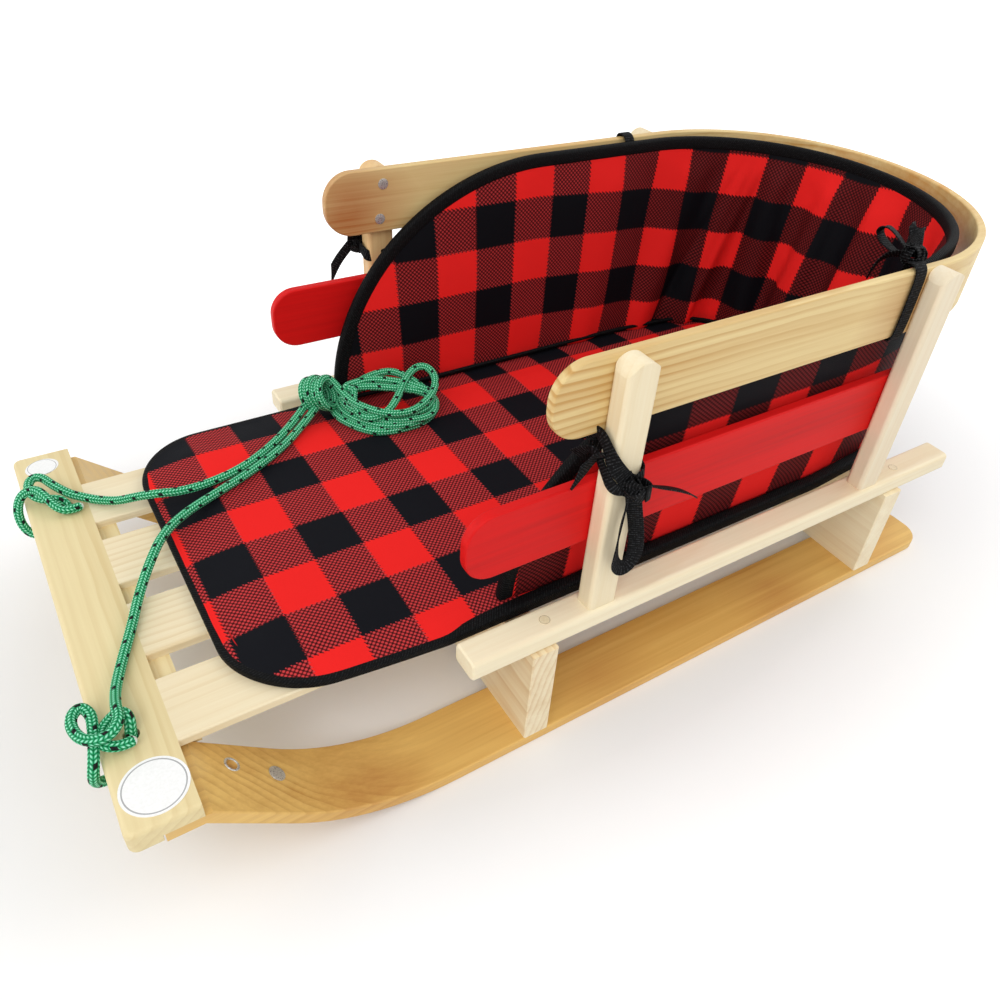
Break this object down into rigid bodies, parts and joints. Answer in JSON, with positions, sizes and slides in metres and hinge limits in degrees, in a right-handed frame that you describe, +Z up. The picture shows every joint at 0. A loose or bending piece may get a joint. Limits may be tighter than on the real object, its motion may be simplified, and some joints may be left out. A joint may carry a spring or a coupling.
{
  "type": "pull sled",
  "caption": "Low wooden pull sled on flat bent runners, slatted deck, side rails with posts, bent back band, plaid wrap-around seat pad and tow rope.",
  "frame": {"origin": "on the ground, midway along the sled without its rope, on the centre line", "axes": "+X is the way the sled is pulled, +Y its left side, +Z up"},
  "size_m": [0.826, 0.392, 0.325],
  "materials": {
    "band_wood": "clear varnish on bent hardwood",
    "bar_wood": "clear varnish on pale hardwood",
    "frame_wood": "thin clear varnish on pale hardwood",
    "plaid_fabric": "woven red and black check, black edge binding",
    "red_paint": "red stain under a satin varnish, grain faintly visible",
    "rope": "braided synthetic rope, green with black tracer",
    "runner_wood": "clear varnish on bent hardwood",
    "slat_wood": "thin clear varnish on softwood"
  },
  "bodies": {
    "root": {"back_band": "band_wood", "back_pad": "plaid_fabric", "cross_board_front": "frame_wood", "cross_board_rear": "frame_wood", "deck_slat_1": "slat_wood", "deck_slat_2": "slat_wood", "deck_slat_3": "slat_wood", "deck_slat_4": "slat_wood", "front_bar": "bar_wood", "post_front_left": "frame_wood", "post_front_right": "frame_wood", "post_rear_left": "frame_wood", "post_rear_right": "frame_wood", "rail_left": "frame_wood", "rail_right": "frame_wood", "rope_coil": "rope", "rope_knot_left": "rope", "rope_knot_right": "rope", "rope_lead_left": "rope", "rope_lead_right": "rope", "rope_loop_left": "rope", "rope_loop_right": "rope", "runner_left": "runner_wood", "runner_right": "runner_wood", "seat_pad": "plaid_fabric", "side_board_left": "red_paint", "side_board_right": "red_paint"}
  },
  "joints": []
}
